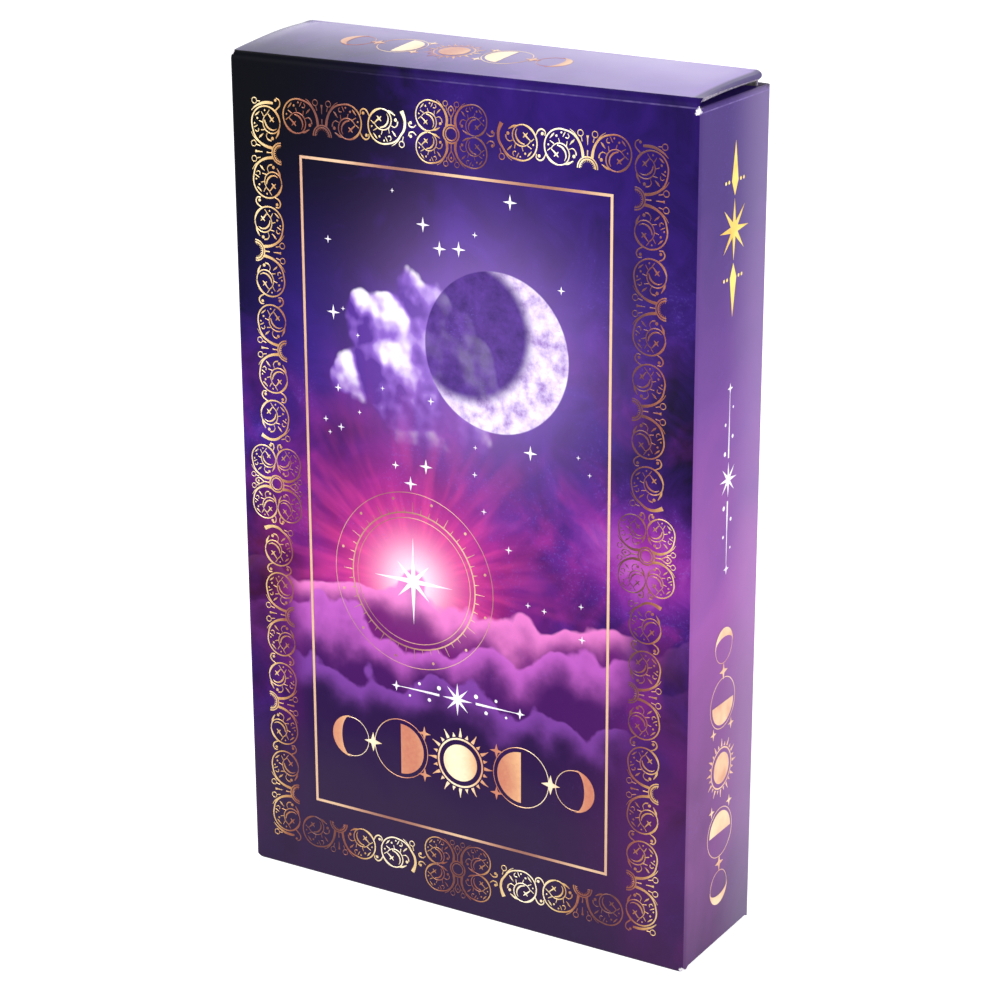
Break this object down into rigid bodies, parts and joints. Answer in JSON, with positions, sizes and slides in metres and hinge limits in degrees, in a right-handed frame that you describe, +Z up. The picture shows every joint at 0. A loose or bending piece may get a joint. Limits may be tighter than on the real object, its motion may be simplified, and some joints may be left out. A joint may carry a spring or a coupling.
{
  "type": "boxed tarot card deck",
  "caption": "Upright paperboard tuck carton with hinged ends and dust flaps, holding a stacked deck of tarot cards and a folded leaflet; purple print with a gold border.",
  "frame": {"origin": "middle of the carton's underside", "axes": "+Z up along the carton's height, -Y out of the front face, +X to the right seen from the front"},
  "size_m": [0.0746, 0.0208, 0.125],
  "materials": {
    "front_print": "printed solid paperboard, matte laminate with fine grain",
    "side_print": "printed, matte laminate",
    "back_print": "printed, matte laminate",
    "end_print": "printed, satin laminate",
    "flap_print": "printed outside, bare grey board inside",
    "inner_board": "bare grey-white board",
    "gold_print": "gold print with a metallic sheen",
    "card_stock": "coated card with cut white edges",
    "leaflet_paper": "uncoated white paper"
  },
  "bodies": {
    "carton": {"front_panel": "front_print", "back_panel": "back_print", "left_panel": "side_print", "right_panel": "side_print", "glue_flap": "inner_board"},
    "lid": {"top_lid": "end_print"},
    "top_tuck_tab": {"top_tuck": "end_print"},
    "top_flap_left": {"top_dust_flap_left": "flap_print"},
    "top_flap_right": {"top_dust_flap_right": "flap_print"},
    "bottom_end": {"bottom_closure": "end_print"},
    "bottom_tuck_tab": {"bottom_tuck": "end_print"},
    "bottom_flap_left": {"bottom_dust_flap_left": "flap_print"},
    "bottom_flap_right": {"bottom_dust_flap_right": "flap_print"},
    "deck": {"leaflet": "leaflet_paper", "major_00_fool": "card_stock", "major_01_magician": "card_stock", "major_02_high_priestess": "card_stock", "major_03_empress": "card_stock", "major_04_emperor": "card_stock", "major_05_hierophant": "card_stock", "major_06_lovers": "card_stock", "major_07_chariot": "card_stock", "major_08_strength": "card_stock", "major_09_hermit": "card_stock", "major_10_wheel_of_fortune": "card_stock", "major_11_justice": "card_stock", "major_12_hanged_man": "card_stock", "major_13_death": "card_stock", "major_14_temperance": "card_stock", "major_15_devil": "card_stock", "major_16_tower": "card_stock", "major_17_star": "card_stock", "major_18_moon": "card_stock", "major_19_sun": "card_stock", "major_20_judgement": "card_stock", "major_21_world": "card_stock", "wands_pips": "card_stock", "wands_page": "card_stock", "wands_knight": "card_stock", "wands_queen": "card_stock", "wands_king": "card_stock", "cups_pips": "card_stock", "cups_page": "card_stock", "cups_knight": "card_stock", "cups_queen": "card_stock", "cups_king": "card_stock", "swords_pips": "card_stock", "swords_page": "card_stock", "swords_knight": "card_stock", "swords_queen": "card_stock", "swords_king": "card_stock", "pentacles_pips": "card_stock", "pentacles_page": "card_stock", "pentacles_knight": "card_stock", "pentacles_queen": "card_stock", "pentacles_king": "card_stock"}
  },
  "joints": [
    {"name": "lid_hinge", "type": "hinge", "parent": "carton", "child": "lid", "pos_m": [0, -0.01014, 0.12477], "axis": [1, 0, 0], "range_deg": [0, 110]},
    {"name": "top_tuck_fold", "type": "hinge", "parent": "lid", "child": "top_tuck_tab", "pos_m": [0, 0.00868, 0.12455], "axis": [-1, 0, 0], "range_deg": [0, 55.5]},
    {"name": "top_flap_right_hinge", "type": "hinge", "parent": "carton", "child": "top_flap_right", "pos_m": [0.03703, 0, 0.12358], "axis": [0, 1, 0], "range_deg": [0, 39]},
    {"name": "top_flap_left_hinge", "type": "hinge", "parent": "carton", "child": "top_flap_left", "pos_m": [-0.03703, 0, 0.12358], "axis": [0, -1, 0], "range_deg": [0, 39]},
    {"name": "bottom_hinge", "type": "hinge", "parent": "carton", "child": "bottom_end", "pos_m": [0, -0.01014, 0.00022], "axis": [-1, 0, 0], "range_deg": [0, 110]},
    {"name": "bottom_tuck_fold", "type": "hinge", "parent": "bottom_end", "child": "bottom_tuck_tab", "pos_m": [0, 0.00868, 0.00045], "axis": [1, 0, 0], "range_deg": [0, 55.5]},
    {"name": "bottom_flap_right_hinge", "type": "hinge", "parent": "carton", "child": "bottom_flap_right", "pos_m": [0.03703, 0, 0.00143], "axis": [0, -1, 0], "range_deg": [0, 39]},
    {"name": "bottom_flap_left_hinge", "type": "hinge", "parent": "carton", "child": "bottom_flap_left", "pos_m": [-0.03703, 0, 0.00143], "axis": [0, 1, 0], "range_deg": [0, 39]},
    {"name": "deck_slide", "type": "slide", "parent": "carton", "child": "deck", "axis": [0, 0, 1], "range_m": [0, 0.0014]}
  ],
  "couplings": [
    {"joint": "top_tuck_fold", "follows": "lid_hinge", "ratio": 0.5},
    {"joint": "top_flap_right_hinge", "follows": "lid_hinge", "ratio": 0.35},
    {"joint": "top_flap_left_hinge", "follows": "lid_hinge", "ratio": 0.35},
    {"joint": "bottom_tuck_fold", "follows": "bottom_hinge", "ratio": 0.5},
    {"joint": "bottom_flap_right_hinge", "follows": "bottom_hinge", "ratio": 0.35},
    {"joint": "bottom_flap_left_hinge", "follows": "bottom_hinge", "ratio": 0.35}
  ]
}
